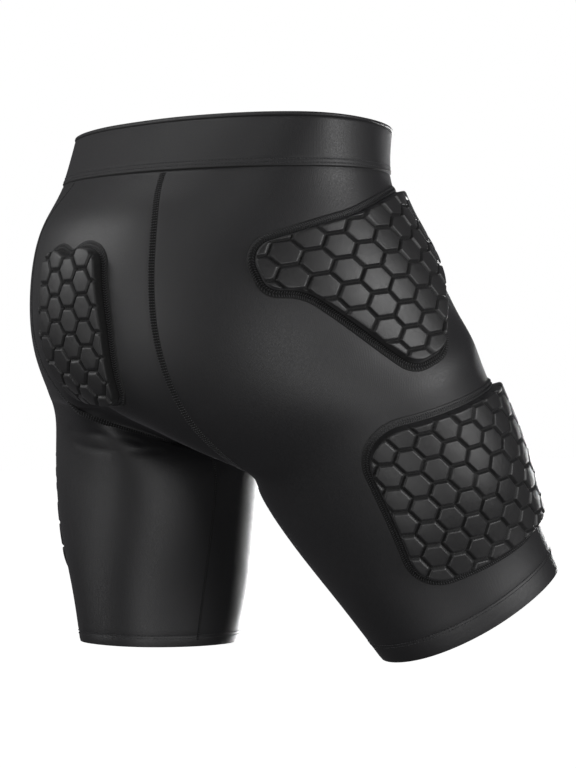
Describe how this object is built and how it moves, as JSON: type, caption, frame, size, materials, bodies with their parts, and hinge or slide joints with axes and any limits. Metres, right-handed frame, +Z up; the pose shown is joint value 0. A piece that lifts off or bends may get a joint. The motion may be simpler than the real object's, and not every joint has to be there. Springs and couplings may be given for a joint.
{
  "type": "padded hip protection shorts",
  "caption": "Close-fitting stretch shorts as worn, with a wide waistband and raised hexagonal foam pads on the tailbone, hips and thighs.",
  "frame": {"origin": "middle of the waist opening, at the height of the waistband's rim", "axes": "+Z up the body, the front faces -Y, the wearer's right side is at -X"},
  "size_m": [0.4122, 0.3809, 0.4405],
  "materials": {
    "stretch_cloth": "knitted stretch cloth with a satin sheen",
    "elastic_band": "doubled cloth over elastic, matt",
    "pad_foam": "smooth cloth laminated over moulded foam"
  },
  "bodies": {
    "root": {"waistband": "elastic_band", "middle_panel": "stretch_cloth", "right_leg_panel": "stretch_cloth", "left_leg_panel": "stretch_cloth", "right_hem": "stretch_cloth", "left_hem": "stretch_cloth", "right_hip_pad": "pad_foam", "left_hip_pad": "pad_foam", "right_thigh_pad": "pad_foam", "left_thigh_pad": "pad_foam", "tailbone_pad": "pad_foam"}
  },
  "joints": []
}
